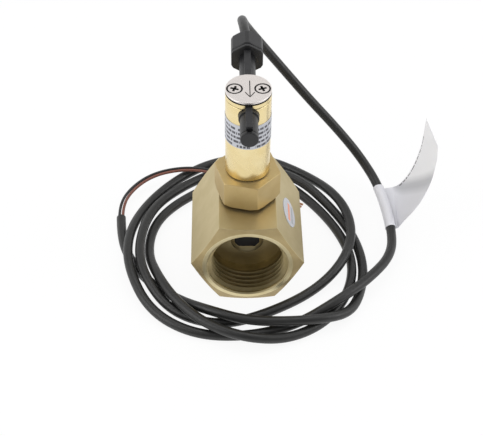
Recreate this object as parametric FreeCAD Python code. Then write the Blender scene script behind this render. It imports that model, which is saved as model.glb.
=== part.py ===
# Paddle flow switch: a brass tee with two threaded ports, a paddle on a sprung lever in a closed
# head tube, and a sliding reed rod with its cable clamped on top.
# Frame: origin at the centre of the bottom flat, +Z up, +Y towards the inlet port.
import FreeCAD, Part
import math
import os

V = FreeCAD.Vector

# ---- tee body ----------------------------------------------------------------------------------
thread_minor_radius = 15.15
mouth_chamfer = 2.0
port_wall = 3.35
body_length = 47.0
web_thickness = 16.2
passage_radius = 7.0
end_chamfer_setback = 1.7
end_chamfer_inset = 1.6
head_bore_breakout = 0.5
head_socket_step = 0.4
head_socket_depth = 4.5

# ---- head adaptor and seal -----------------------------------------------------------------------
seal_thickness = 1.2
seal_radius = 11.2
adaptor_across_flats = 24.2
adaptor_height = 12.4
adaptor_turn = -13.7
adaptor_chamfer_inset = 0.5
adaptor_chamfer_drop = 1.0
adaptor_bore_radius = 6.35
shank_length = 4.3
fit_clearance = 0.05

# ---- head tube, saddle, plate --------------------------------------------------------------------
tube_radius = 9.1
tube_length = 36.9
tube_wall = 1.5
tube_roof_thickness = 8.5
tube_gap = 0.5
spigot_step = 0.8
spigot_wall = 1.4
spigot_length = 4.0
channel_roof = 0.4
channel_clearance = 0.2
plate_thickness = 1.1
arrow_depth = 0.15
arrow_width = 0.4
arrow_strokes = ((0.0, 10.2), (-32.0, 3.6), (32.0, 3.6))
screw_edge = 3.65
screw_radius = 1.5
screw_head_radius = 2.8
screw_length = 7.5
screw_slot_length = 3.2
screw_slot_width = 0.6
screw_slot_depth = 0.9
label_drop = 8.2
label_height = 11.6
label_thickness = 0.12
label_seam = 1.0
label_glue = 0.03
sticker_length = 15.5
sticker_width = 10.5
sticker_thickness = 0.12
sticker_slide = -0.5

# ---- lever, paddle and return spring -------------------------------------------------------------
pivot_rise = 6.5
pin_radius = 1.0
pin_clearance = 0.03
hub_radius = 2.6
hub_width = 5.4
carrier_height = 9.0
carrier_wall = 1.4
boss_radius = 2.2
boss_gap = 0.2
lever_width = 5.0
lever_thickness = 1.2
stem_radius = 1.1
stem_lean = 6.0
magnet_room = 8.0
magnet_radius = 2.4
magnet_length = 5.0
cup_wall = 0.7
# Heights of the paddle and its tab, from the middle of the passage.
paddle_bottom_drop = 5.4
paddle_corner_drop = 3.1
paddle_top_rise = 3.7
tab_bottom_drop = 2.1
tab_top_rise = 6.0
rivet_rises = (-0.7, 2.1)
paddle_inset = 1.7
paddle_width = 10.6
paddle_bottom_width = 7.0
paddle_thickness = 1.2
rivet_radius = 0.8
rivet_head_radius = 1.3
rivet_head_height = 0.5
spring_width = 0.8
spring_wall = 0.6
spring_leg = 3.2

# ---- reed rod and its cap ------------------------------------------------------------------------
rod_radius = 3.3
rod_wall = 0.8
rod_drop = 3.4
rod_inset = 1.9
rib_width = 2.7
rib_height = 1.9
groove_clearance = 0.1
collar_step = 0.75
collar_seat = 1.5
collar_length = 2.9
sleeve_step = 0.25
sleeve_length = 10.4
plug_length = 1.9
plug_round = 0.9
capsule_radius = 1.35
capsule_wall = 0.35
capsule_length = 15.0
capsule_end = 1.0
blade_width = 1.1
blade_thickness = 0.2
blade_overlap = 1.5
blade_gap = 0.15
lead_radius = 0.25
lead_gap = 0.3
lead_loop = 1.5
potting_length = 13.0

# ---- cable gland ---------------------------------------------------------------------------------
gland_across_flats = 13.0
gland_corner_inset = 0.45
gland_reach = 18.6
gland_collar_length = 1.4
gland_rod_seat = 3.3
gland_spigot_radius = 5.0
gland_spigot_length = 6.4
gland_nut_gap = 0.3
gland_nut_length = 9.9
gland_throat_radius = 3.6
seal_bore_radius = 3.9
claw_length = 2.2
claw_slots = 6
claw_slot_width = 0.5

# ---- cable ------------------------------------------------------------------------------------------
cable_diameter = 4.2
cable_clearance = 0.05
core_diameter = 1.3
core_gap = 0.3
strand_diameter = 0.8
strand_length = 5.0
flag_run = 10
flag_wall = 0.25
flag_leaf_thickness = 0.3
# The leaf's bend at its upper edge, seen along the cable: how far out and up each point is.
# Towards its lower edge the leaf closes on the cable by flag_skew.
flag_bend = [(7.0, -0.8), (12.2, 6.5), (15.4, 20), (16.2, 34), (15.4, 50.5)]
flag_skew = 3.4

# Hand-laid route of the cable: straight out of the gland, down in one arc to the right, then
# just over three loose turns round the tee, to the cut end of the sheath on the left.
cable_route = [
    (0, 31, 88.6), (0, 41.5, 88.6), (-1, 51.5, 88.6), (-1.8, 61.5, 85.4), (-0.3, 69.7, 76.5),
    (6.3, 73.2, 65), (16.8, 69.6, 53), (29.2, 63.6, 40), (42.8, 57.9, 26.5), (53.8, 51, 15.3), (62, 37.5, 8.4),
    (65.6, 15, 4.5), (63.8, -2.5, 5.2), (52.3, -18.3, 7), (38.5, -31, 7.8), (20, -40.5, 2.3),
    (-2, -46.5, 2.2), (-24, -44.5, 2.2), (-42, -31.5, 2.8), (-51.5, -10, 6.8), (-52.3, 10, 6.8),
    (-45.2, 33, 3), (-30, 52.5, 2.2), (-12, 64, 2.2), (9, 65.5, 2.2), (28, 53.5, 2.6),
    (42.5, 34, 7), (48, 14, 7), (43.5, -6, 6.8), (30, -20.5, 2.4), (9, -33.5, 2.2),
    (-12, -40.5, 2.2), (-32.5, -33, 2.6), (-44.7, -15.5, 7.4), (-47.6, 4, 7), (-42.9, 27, 5.5),
    (-29, 45.5, 2.4), (-10, 57.5, 2.2), (13, 53, 2.2), (29, 37, 2.2), (41.5, 16.5, 2.2),
    (47, -3.5, 2.2), (43.8, -22, 2.2), (33, -38.5, 2.2), (17, -48, 2.6), (0, -51, 6.8),
    (-16.5, -44, 6.8), (-29.2, -31.5, 6.8), (-38, -17, 7.2), (-43.8, 2, 2.8), (-41, 22, 2.2),
    (-28, 37.5, 2.2), (-8, 49.5, 2.3), (10, 52, 6.8), (25.5, 45.5, 6.8), (39.5, 30.5, 2.6),
    (48.3, 12.5, 2.2), (51.5, -6, 2.2), (48.5, -23, 2.2), (43, -34, 3), (32, -41, 7.2),
    (16, -42.5, 7.2), (-1, -41.5, 7), (-16, -35.5, 6.6), (-29.5, -26, 2.5), (-43.8, -14, 2.2),
    (-52, 0, 2.2), (-55.8, 13, 2.2), (-56.5, 24.7, 2.2),
]
# Hand-laid route of the two cores, from the cut end of the sheath round behind the tee.
core_route = [
    (-56.5, 24.7, 2.2), (-57.05, 33.9, 2.2), (-51.5, 43.3, 4.2), (-42.5, 50, 5.8), (-31, 53.3, 6.2),
    (-20, 52.8, 6.4), (-9.5, 48.2, 7), (1, 44, 4.4), (10, 41.3, 1.6), (17, 38.4, 1.1), (22, 35.6, 1.1),
]

# Derived values shared by the pieces.
port_mouth_radius = thread_minor_radius + mouth_chamfer
hex_across_flats = 2.0 * (port_mouth_radius + port_wall)
axis_height = hex_across_flats / 2.0
corner_radius = hex_across_flats / math.sqrt(3.0)
half_body = body_length / 2.0
web_half = web_thickness / 2.0
thread_depth = half_body - web_half
head_bore_radius = web_half + head_bore_breakout
head_socket_radius = head_bore_radius + head_socket_step
seal_top = hex_across_flats + seal_thickness
adaptor_top = seal_top + adaptor_height
tube_bottom = adaptor_top + tube_gap
saddle_height = tube_bottom + tube_length
tube_bore_radius = tube_radius - tube_wall
tube_roof_height = saddle_height - tube_roof_thickness
spigot_radius = tube_radius - spigot_step
label_top = saddle_height - label_drop
pivot_height = hex_across_flats + pivot_rise
stem_length = tube_roof_height - pivot_height - magnet_room
paddle_front = paddle_inset - web_half
tab_front = paddle_front + paddle_thickness
tab_back = tab_front + lever_thickness
rod_height = saddle_height - rod_drop
rod_bore_radius = rod_radius - rod_wall
rib_top = rod_height + rod_radius + rib_height
channel_top = rib_top + channel_clearance
plate_bottom = channel_top + channel_roof
plate_top = plate_bottom + plate_thickness
collar_radius = rod_radius + collar_step
collar_back = collar_seat - tube_radius
collar_front = collar_back - collar_length
sleeve_radius = rod_radius + sleeve_step
sleeve_front = collar_front - sleeve_length
rod_front = sleeve_front + rod_inset
plug_front = sleeve_front - plug_length
gland_front = tube_radius + gland_reach
gland_shoulder = gland_front + gland_collar_length
gland_spigot_back = gland_shoulder + gland_spigot_length
nut_front = gland_shoulder + gland_nut_gap
nut_back = nut_front + gland_nut_length
rod_back = gland_front + gland_rod_seat
potting_front = rod_back - potting_length
cable_radius = cable_diameter / 2.0
core_radius = core_diameter / 2.0


def cylinder(radius, length, base, direction):
    return Part.makeCylinder(radius, length, V(*base), V(*direction))


def ring(outer, inner, length, base, direction):
    return cylinder(outer, length, base, direction).cut(cylinder(inner, length, base, direction))


def upright(radius, low, high, x=0.0, y=0.0):
    """A vertical cylinder between two heights."""
    return cylinder(radius, high - low, (x, y, low), (0, 0, 1))


def along_y(radius, front, back, x=0.0, z=0.0):
    """A cylinder along Y between two depths."""
    return cylinder(radius, back - front, (x, front, z), (0, 1, 0))


def block(x0, x1, y0, y1, z0, z1):
    return Part.makeBox(x1 - x0, y1 - y0, z1 - z0, V(x0, y0, z0))


def prism(points, direction):
    face = Part.Face(Part.makePolygon(points + [points[0]]))
    return face.extrude(direction)


def hexagon_points(across_flats, turn, place):
    """Corners of a regular hexagon; place maps its own plane into the model."""
    radius = across_flats / math.sqrt(3.0)
    angles = [math.radians(turn + 60.0 * i) for i in range(6)]
    return [place(radius * math.cos(a), radius * math.sin(a)) for a in angles]


def turned(profile, centre, axis):
    """A solid of revolution: profile is a closed list of points in a plane through the axis."""
    face = Part.Face(Part.makePolygon(profile + [profile[0]]))
    return face.revolve(centre, axis, 360)


def save(shape, node):
    shape.exportStep("parts/" + node + ".step")


# ---- the tee and its head ---------------------------------------------------------------------------


def make_tee_body():
    corners = hexagon_points(hex_across_flats, 0, lambda a, b: V(a, -half_body, axis_height + b))
    bar = prism(corners, V(0, body_length, 0))
    face_ring_radius = axis_height - end_chamfer_inset
    outline = [
        V(0, -half_body, axis_height),
        V(face_ring_radius, -half_body, axis_height),
        V(corner_radius, -half_body + end_chamfer_setback, axis_height),
        V(corner_radius, half_body - end_chamfer_setback, axis_height),
        V(face_ring_radius, half_body, axis_height),
        V(0, half_body, axis_height),
    ]
    body = bar.common(turned(outline, V(0, 0, axis_height), V(0, 1, 0)))
    for side in (-1, 1):
        face = side * half_body
        inward = (0, -side, 0)
        body = body.cut(cylinder(thread_minor_radius, thread_depth, (0, face, axis_height), inward))
        mouth = Part.makeCone(port_mouth_radius, thread_minor_radius, mouth_chamfer,
                              V(0, face, axis_height), V(*inward))
        body = body.cut(mouth)
    body = body.cut(along_y(passage_radius, -web_half - 1, web_half + 1, 0, axis_height))
    body = body.cut(upright(head_bore_radius, axis_height, hex_across_flats + 1))
    socket_bottom = hex_across_flats - head_socket_depth
    return body.cut(upright(head_socket_radius, socket_bottom, hex_across_flats + 1))


def make_adaptor_seal():
    inner = head_socket_radius + fit_clearance
    return ring(seal_radius, inner, seal_thickness, (0, 0, hex_across_flats), (0, 0, 1))


def make_hex_adaptor():
    corners = hexagon_points(adaptor_across_flats, adaptor_turn, lambda a, b: V(a, b, seal_top))
    adaptor = prism(corners, V(0, 0, adaptor_height))
    corner = adaptor_across_flats / math.sqrt(3.0)
    adaptor_chamfer_radius = adaptor_across_flats / 2.0 + adaptor_chamfer_inset
    outline = [
        V(0, 0, seal_top),
        V(adaptor_chamfer_radius, 0, seal_top),
        V(corner, 0, seal_top + adaptor_chamfer_drop),
        V(corner, 0, adaptor_top - adaptor_chamfer_drop),
        V(adaptor_chamfer_radius, 0, adaptor_top),
        V(0, 0, adaptor_top),
    ]
    adaptor = adaptor.common(turned(outline, V(0, 0, 0), V(0, 0, 1)))
    shank = upright(head_socket_radius - fit_clearance, hex_across_flats - shank_length, seal_top)
    adaptor = adaptor.fuse(shank).removeSplitter()
    bore_bottom = hex_across_flats - shank_length - 1
    adaptor = adaptor.cut(upright(adaptor_bore_radius, bore_bottom, adaptor_top + 1))
    counterbore = upright(spigot_radius + fit_clearance, adaptor_top - spigot_length, adaptor_top + 1)
    return adaptor.cut(counterbore)


def make_tube_o_ring():
    inner = spigot_radius + fit_clearance
    return ring(tube_radius - tube_gap, inner, tube_gap, (0, 0, adaptor_top), (0, 0, 1))


def screw_places():
    return [(side * (tube_radius - screw_edge), side) for side in (-1, 1)]


def make_head_tube():
    tube = upright(tube_radius, tube_bottom, saddle_height)
    spigot_bottom = adaptor_top - spigot_length + fit_clearance
    tube = tube.fuse(upright(spigot_radius, spigot_bottom, tube_bottom)).removeSplitter()
    tube = tube.cut(upright(spigot_radius - spigot_wall, spigot_bottom - 1, tube_bottom + 1))
    tube = tube.cut(upright(tube_bore_radius, tube_bottom + 1, tube_roof_height))
    groove = rod_radius + groove_clearance
    tube = tube.cut(along_y(groove, -tube_radius - 1, tube_radius + 1, 0, rod_height))
    half_slot = rib_width / 2.0 + groove_clearance
    tube = tube.cut(block(-half_slot, half_slot, -tube_radius - 1, tube_radius + 1,
                          rod_height, saddle_height + 1))
    recess_back = collar_back + groove_clearance
    recess = along_y(collar_radius + groove_clearance, -tube_radius - 1, recess_back, 0, rod_height)
    tube = tube.cut(recess)
    for x, _ in screw_places():
        tube = tube.cut(upright(screw_radius, plate_top - screw_length - 1, saddle_height + 1, x))
    return tube


def screw_cone(x, grow):
    """The countersink under a plate screw, wider than the head by grow."""
    return Part.makeCone(screw_radius + grow, screw_head_radius + grow,
                         screw_head_radius - screw_radius,
                         V(x, 0, plate_top - screw_head_radius + screw_radius), V(0, 0, 1))


def make_clamp_saddle():
    saddle = upright(tube_radius, saddle_height, plate_bottom)
    half_slot = rib_width / 2.0 + groove_clearance
    saddle = saddle.cut(block(-half_slot, half_slot, -tube_radius - 1, tube_radius + 1,
                              saddle_height - 1, channel_top))
    recess_back = collar_back + groove_clearance
    recess = along_y(collar_radius + groove_clearance, -tube_radius - 1, recess_back, 0, rod_height)
    saddle = saddle.cut(recess)
    for x, _ in screw_places():
        saddle = saddle.cut(upright(screw_radius + fit_clearance, saddle_height - 1, plate_bottom + 1, x))
        saddle = saddle.cut(screw_cone(x, fit_clearance))
    return saddle


def make_top_plate():
    plate = upright(tube_radius, plate_bottom, plate_top)
    for x, _ in screw_places():
        plate = plate.cut(upright(screw_radius + fit_clearance, plate_bottom - 1, plate_top + 1, x))
        plate = plate.cut(screw_cone(x, fit_clearance))
    # The flow arrow: a shaft and two barbs, engraved.
    tip = V(0.5, -5.2, plate_top)
    for angle, length in arrow_strokes:
        stroke = block(tip.x - arrow_width / 2, tip.x + arrow_width / 2, tip.y, tip.y + length,
                       plate_top - arrow_depth, plate_top + 1)
        stroke.rotate(tip, V(0, 0, 1), angle)
        plate = plate.cut(stroke)
    return plate


def make_plate_screws():
    screws = []
    for x, side in screw_places():
        screw = upright(screw_radius - fit_clearance, plate_top - screw_length, plate_top - 0.5, x)
        screw = screw.fuse(screw_cone(x, 0)).removeSplitter()
        for turn in (20.0, 110.0):
            slot = block(x - screw_slot_length / 2, x + screw_slot_length / 2,
                         -screw_slot_width / 2, screw_slot_width / 2,
                         plate_top - screw_slot_depth, plate_top + 1)
            slot.rotate(V(x, 0, plate_top), V(0, 0, 1), side * turn)
            screw = screw.cut(slot)
        screws.append(screw)
    return Part.makeCompound(screws)


def make_foil_label():
    inner = tube_radius + label_glue
    label_bottom = label_top - label_height
    label = ring(inner + label_thickness, inner, label_height, (0, 0, label_bottom), (0, 0, 1))
    seam = block(-label_seam / 2, label_seam / 2, 0, tube_radius + 1, label_bottom - 1, label_top + 1)
    return label.cut(seam)


def make_body_sticker():
    ellipse = Part.Ellipse(V(0, 0, 0), sticker_length / 2.0, sticker_width / 2.0)
    disc = Part.Face(Part.Wire(ellipse.toShape())).extrude(V(0, 0, sticker_thickness))
    # Lay it on the upper right flat: its long side along Y, its face tilted outwards.
    disc.rotate(V(0, 0, 0), V(0, 0, 1), 90)
    disc.rotate(V(0, 0, 0), V(0, 1, 0), 60)
    out = V(math.cos(math.radians(30)), 0, math.sin(math.radians(30)))
    disc.translate(V(0, sticker_slide, axis_height) + out * (axis_height + label_glue))
    return disc


# ---- lever and paddle -------------------------------------------------------------------------------


def across(radius, x0, x1, y=0.0, z=pivot_height):
    """A cylinder along X, on the pivot's axis unless placed."""
    return cylinder(radius, x1 - x0, (x0, y, z), (1, 0, 0))


def make_pivot_carrier():
    outer = adaptor_bore_radius - fit_clearance
    inner = outer - carrier_wall
    low = pivot_height - carrier_height / 2.0
    carrier = ring(outer, inner, carrier_height, (0, 0, low), (0, 0, 1))
    boss_start = hub_width / 2.0 + boss_gap
    for side in (-1, 1):
        boss = cylinder(boss_radius, inner + 0.5 - boss_start, (side * boss_start, 0, pivot_height),
                        (side, 0, 0))
        carrier = carrier.fuse(boss)
    return carrier.removeSplitter().cut(across(pin_radius, -outer, outer))


def make_pivot_pin():
    half = adaptor_bore_radius - 4 * fit_clearance
    return across(pin_radius, -half, half)


def make_return_spring():
    inner = boss_radius + fit_clearance
    start = hub_width / 2.0 + boss_gap
    spring = across(inner + spring_wall, start, start + spring_width)
    leg = block(start, start + spring_wall, -inner - spring_wall, -inner, pivot_height - spring_leg,
                pivot_height)
    return spring.fuse(leg).removeSplitter().cut(across(inner, start - 1, start + spring_width + 1))


def make_lever_hub():
    bore = pin_radius + pin_clearance
    return across(hub_radius, -hub_width / 2.0, hub_width / 2.0).cut(across(bore, -hub_width, hub_width))


def make_lever_arm():
    half = lever_width / 2.0
    tab_bottom = axis_height - tab_bottom_drop
    tab_top = axis_height + tab_top_rise
    side_view = [
        V(-half, tab_front, tab_bottom),
        V(-half, tab_back, tab_bottom),
        V(-half, tab_back, tab_top),
        V(-half, lever_thickness / 2.0, pivot_height),
        V(-half, -lever_thickness / 2.0, pivot_height),
        V(-half, tab_front, tab_top),
    ]
    arm = prism(side_view, V(lever_width, 0, 0)).cut(across(hub_radius, -hub_width, hub_width))
    for rise in rivet_rises:
        arm = arm.cut(along_y(rivet_radius, tab_front - 1, tab_back + 1, 0, axis_height + rise))
    return arm


def stem_direction():
    lean = math.radians(stem_lean)
    return V(0, -math.sin(lean), math.cos(lean))


def stem_point(distance):
    return V(0, 0, pivot_height) + stem_direction() * distance


def make_magnet_stem():
    stem = Part.makeCylinder(stem_radius, stem_length, stem_point(0), stem_direction())
    return stem.cut(across(hub_radius, -hub_width, hub_width))


def make_magnet_cup():
    cup = Part.makeCylinder(magnet_radius + cup_wall, magnet_length + cup_wall,
                            stem_point(stem_length), stem_direction())
    pocket = Part.makeCylinder(magnet_radius, magnet_length + 1,
                               stem_point(stem_length + cup_wall), stem_direction())
    return cup.cut(pocket)


def make_lever_magnet():
    return Part.makeCylinder(magnet_radius, magnet_length,
                             stem_point(stem_length + cup_wall), stem_direction())


def make_paddle_plate():
    half_top = paddle_width / 2.0
    half_bottom = paddle_bottom_width / 2.0
    paddle_bottom = axis_height - paddle_bottom_drop
    paddle_corner = axis_height - paddle_corner_drop
    paddle_top = axis_height + paddle_top_rise
    outline = [
        V(-half_bottom, paddle_front, paddle_bottom),
        V(half_bottom, paddle_front, paddle_bottom),
        V(half_top, paddle_front, paddle_corner),
        V(half_top, paddle_front, paddle_top),
        V(-half_top, paddle_front, paddle_top),
        V(-half_top, paddle_front, paddle_corner),
    ]
    plate = prism(outline, V(0, paddle_thickness, 0))
    for rise in rivet_rises:
        plate = plate.cut(along_y(rivet_radius, paddle_front - 1, 0, 0, axis_height + rise))
    return plate


def make_paddle_rivets():
    rivets = []
    for rise in rivet_rises:
        z = axis_height + rise
        rivet = along_y(rivet_radius, paddle_front, tab_back, 0, z)
        rivet = rivet.fuse(along_y(rivet_head_radius, tab_back, tab_back + rivet_head_height, 0, z))
        rivets.append(rivet.removeSplitter())
    return Part.makeCompound(rivets)


# ---- reed rod ----------------------------------------------------------------------------------------


def rib(front, back):
    """The guide rib on top of the rod, between two depths."""
    half = rib_width / 2.0
    return block(-half, half, front, back, rod_height + rod_radius / 2.0, rib_top)


def make_reed_rod():
    rod = along_y(rod_radius, rod_front, rod_back, 0, rod_height)
    rod = rod.fuse(rib(collar_back, gland_front)).removeSplitter()
    return rod.cut(along_y(rod_bore_radius, rod_front - 1, rod_back + 1, 0, rod_height))


def make_rod_cap():
    cap = along_y(sleeve_radius, sleeve_front, collar_front, 0, rod_height)
    cap = cap.fuse(along_y(collar_radius, collar_front, collar_back, 0, rod_height))
    cap = cap.fuse(rib(sleeve_front, collar_back)).removeSplitter()
    bore = rod_radius + fit_clearance
    return cap.cut(along_y(bore, rod_front, collar_back + 1, 0, rod_height))


def make_end_plug():
    outline = [
        V(0, plug_front, rod_height),
        V(sleeve_radius - plug_round / 2.0, plug_front, rod_height),
        V(sleeve_radius, plug_front + plug_round, rod_height),
        V(sleeve_radius, sleeve_front, rod_height),
        V(0, sleeve_front, rod_height),
    ]
    return turned(outline, V(0, 0, rod_height), V(0, 1, 0))


def make_reed_capsule():
    half = capsule_length / 2.0
    glass = along_y(capsule_radius, -half, half, 0, rod_height)
    bore_half = half - capsule_end
    return glass.cut(along_y(capsule_radius - capsule_wall, -bore_half, bore_half, 0, rod_height))


def make_reed_contacts():
    half = capsule_length / 2.0 - capsule_end
    w = blade_width / 2.0
    gap = blade_gap / 2.0
    lower = block(-w, w, -half, blade_overlap, rod_height - gap - blade_thickness, rod_height - gap)
    upper = block(-w, w, -blade_overlap, half, rod_height + gap, rod_height + gap + blade_thickness)
    return Part.makeCompound([lower, upper])


def make_reed_leads():
    half = capsule_length / 2.0
    turn_back = half + lead_loop
    lead_offset = capsule_radius + lead_gap + lead_radius
    rear = along_y(lead_radius, half, potting_front, 0, rod_height)
    front = along_y(lead_radius, -turn_back, -half, 0, rod_height)
    side = lead_offset + lead_radius
    across_end = block(-lead_radius, side, -turn_back, -turn_back + 2 * lead_radius,
                       rod_height - lead_radius, rod_height + lead_radius)
    back = along_y(lead_radius, -turn_back + lead_radius, potting_front, lead_offset, rod_height)
    return Part.makeCompound([rear, front.fuse(across_end).fuse(back)])


def make_potting():
    return along_y(rod_bore_radius, potting_front, rod_back, 0, rod_height)


def gland_hexagon(front, back):
    """A black hexagon with its corners rounded off by turning."""
    corners = hexagon_points(gland_across_flats, 30, lambda a, b: V(a, front, rod_height + b))
    corner = gland_across_flats / math.sqrt(3.0)
    rounded = along_y(corner - gland_corner_inset, front, back, 0, rod_height)
    return prism(corners, V(0, back - front, 0)).common(rounded)


def make_gland_body():
    body = gland_hexagon(gland_front, gland_shoulder)
    spigot = along_y(gland_spigot_radius, gland_shoulder, gland_spigot_back, 0, rod_height)
    body = body.fuse(spigot).removeSplitter()
    body = body.cut(along_y(rod_radius + fit_clearance, gland_front - 1, rod_back, 0, rod_height))
    return body.cut(along_y(seal_bore_radius, rod_back, gland_spigot_back + 1, 0, rod_height))


def make_gland_seal():
    inner = cable_radius + cable_clearance
    seal = along_y(seal_bore_radius - fit_clearance, rod_back, gland_spigot_back, 0, rod_height)
    return seal.cut(along_y(inner, rod_back - 1, gland_spigot_back + 1, 0, rod_height))


def make_gland_claw():
    front = gland_spigot_back + fit_clearance
    back = front + claw_length
    claw = along_y(gland_throat_radius - fit_clearance, front, back, 0, rod_height)
    claw = claw.cut(along_y(cable_radius + 3 * cable_clearance, front - 1, back + 1, 0, rod_height))
    for i in range(claw_slots // 2):
        slot = block(-gland_throat_radius, gland_throat_radius, front + claw_length / 3.0, back + 1,
                     rod_height - claw_slot_width / 2.0, rod_height + claw_slot_width / 2.0)
        slot.rotate(V(0, 0, rod_height), V(0, 1, 0), 360.0 * i / claw_slots)
        claw = claw.cut(slot)
    return claw


def make_gland_nut():
    nut = gland_hexagon(nut_front, nut_back)
    bore = gland_spigot_radius + fit_clearance
    nut = nut.cut(along_y(bore, nut_front - 1, gland_spigot_back + fit_clearance, 0, rod_height))
    return nut.cut(along_y(gland_throat_radius, nut_front, nut_back + 1, 0, rod_height))


# ---- cable ------------------------------------------------------------------------------------------


def rounded_path(points):
    """Straight runs joined by tangent arcs, each as large as its two runs allow."""
    edges = []
    radii = []
    last = points[0]
    for before, here, after in zip(points, points[1:], points[2:]):
        run_in = here - before
        run_out = after - here
        half_turn = run_in.getAngle(run_out) / 2.0
        reach = 0.45 * min(run_in.Length, run_out.Length)
        radius = reach / math.tan(half_turn)
        run_in.normalize()
        run_out.normalize()
        start = here - run_in * reach
        end = here + run_out * reach
        inward = run_out - run_in
        inward.normalize()
        middle = here + inward * (radius / math.cos(half_turn) - radius)
        edges.append(Part.LineSegment(last, start).toShape())
        edges.append(Part.Arc(start, middle, end).toShape())
        radii.append(radius)
        last = end
    edges.append(Part.LineSegment(last, points[-1]).toShape())
    return edges, radii


def tube_along(edges, radius):
    """A round tube whose middle follows the edges."""
    start = edges[0].firstVertex().Point
    heading = edges[0].tangentAt(edges[0].FirstParameter)
    profile = Part.Wire(Part.Circle(start, heading, radius).toShape())
    return Part.Wire(edges).makePipeShell([profile], True, False)


def make_cord(points, radius, name):
    edges, radii = rounded_path(points)
    tube = tube_along(edges, radius)
    length = sum(edge.Length for edge in edges)
    ideal = math.pi * radius * radius * length
    print(name, "length %.0f mm, smallest radius %.1f mm, volume over section times length %.4f"
          % (length, min(radii), tube.Volume / ideal))
    return tube


def beside(points, offset):
    """The same route, moved sideways over the floor by offset."""
    moved = []
    for i, here in enumerate(points):
        heading = points[min(i + 1, len(points) - 1)] - points[max(i - 1, 0)]
        sideways = V(-heading.y, heading.x, 0)
        sideways.normalize()
        moved.append(here + sideways * offset)
    return moved


def core_points(side):
    offset = side * (core_radius + core_gap / 2.0)
    return beside([V(*p) for p in core_route], offset)


def make_strand_ends():
    ends = []
    for side in (-1, 1):
        points = core_points(side)
        heading = points[-1] - points[-2]
        ends.append(Part.makeCylinder(strand_diameter / 2.0, strand_length, points[-1], heading))
    return Part.makeCompound(ends)


def flag_edges():
    """The stretch of the cable that the flag is wrapped round, from mid-bend to mid-bend."""
    edges, _ = rounded_path([V(*p) for p in cable_route])
    first_bend = edges[2 * flag_run - 1]
    straight = edges[2 * flag_run]
    last_bend = edges[2 * flag_run + 1]
    mid = (first_bend.FirstParameter + first_bend.LastParameter) / 2.0
    tail = first_bend.Curve.toShape(mid, first_bend.LastParameter)
    mid = (last_bend.FirstParameter + last_bend.LastParameter) / 2.0
    head = last_bend.Curve.toShape(last_bend.FirstParameter, mid)
    return [tail, straight, head]


def make_cable_flag():
    edges = flag_edges()
    inner = cable_radius + cable_clearance
    start = edges[0].firstVertex().Point
    end = edges[-1].lastVertex().Point
    along = end - start
    out = V(-along.y, along.x, 0)
    out.normalize()
    up = along.cross(out)
    up.normalize()
    half = flag_leaf_thickness / 2.0
    sides = []
    for side in (half, -half):
        curve = Part.BSplineCurve()
        curve.interpolate([start + out * (reach - side) + up * (rise + side) for reach, rise in flag_bend])
        sides.append(curve)
    root = Part.LineSegment(sides[1].StartPoint, sides[0].StartPoint)
    tip = Part.LineSegment(sides[0].EndPoint, sides[1].EndPoint)
    outline = Part.Wire([root.toShape(), sides[0].toShape(), tip.toShape(), sides[1].toShape()])
    leaf = Part.Face(outline).extrude(along - out * flag_skew)
    # The neck that joins the leaf to the wrap, narrower towards the lower end.
    crease, drop = flag_bend[0]
    neck = prism([start + out * inner, start + out * (crease + half),
                  end + out * (crease + half - flag_skew), end + out * inner], up * flag_leaf_thickness)
    neck.translate(up * (drop - half))
    wrap = tube_along(edges, inner + flag_wall)
    return wrap.fuse(neck).fuse(leaf).cut(tube_along(edges, inner))


def main():
    os.makedirs("parts", exist_ok=True)
    save(make_tee_body(), "tee_body")
    save(make_adaptor_seal(), "adaptor_seal")
    save(make_hex_adaptor(), "hex_adaptor")
    save(make_tube_o_ring(), "tube_o_ring")
    save(make_head_tube(), "head_tube")
    save(make_clamp_saddle(), "clamp_saddle")
    save(make_top_plate(), "top_plate")
    save(make_plate_screws(), "plate_screws")
    save(make_foil_label(), "foil_label")
    save(make_body_sticker(), "body_sticker")
    save(make_pivot_carrier(), "pivot_carrier")
    save(make_pivot_pin(), "pivot_pin")
    save(make_return_spring(), "return_spring")
    save(make_lever_hub(), "lever_hub")
    save(make_lever_arm(), "lever_arm")
    save(make_magnet_stem(), "magnet_stem")
    save(make_magnet_cup(), "magnet_cup")
    save(make_lever_magnet(), "lever_magnet")
    save(make_paddle_plate(), "paddle_plate")
    save(make_paddle_rivets(), "paddle_rivets")
    save(make_reed_rod(), "reed_rod")
    save(make_rod_cap(), "rod_cap")
    save(make_end_plug(), "end_plug")
    save(make_reed_capsule(), "reed_capsule")
    save(make_reed_contacts(), "reed_contacts")
    save(make_reed_leads(), "reed_leads")
    save(make_potting(), "potting")
    save(make_gland_body(), "gland_body")
    save(make_gland_seal(), "gland_seal")
    save(make_gland_claw(), "gland_claw")
    save(make_gland_nut(), "gland_nut")
    save(make_cord([V(*p) for p in cable_route], cable_radius, "cable_sheath"), "cable_sheath")
    save(make_cord(core_points(1), core_radius, "core_black"), "core_black")
    save(make_cord(core_points(-1), core_radius, "core_brown"), "core_brown")
    save(make_strand_ends(), "strand_ends")
    save(make_cable_flag(), "cable_flag")


main()
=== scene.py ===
import math

import bpy
from mathutils import Matrix, Vector


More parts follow.
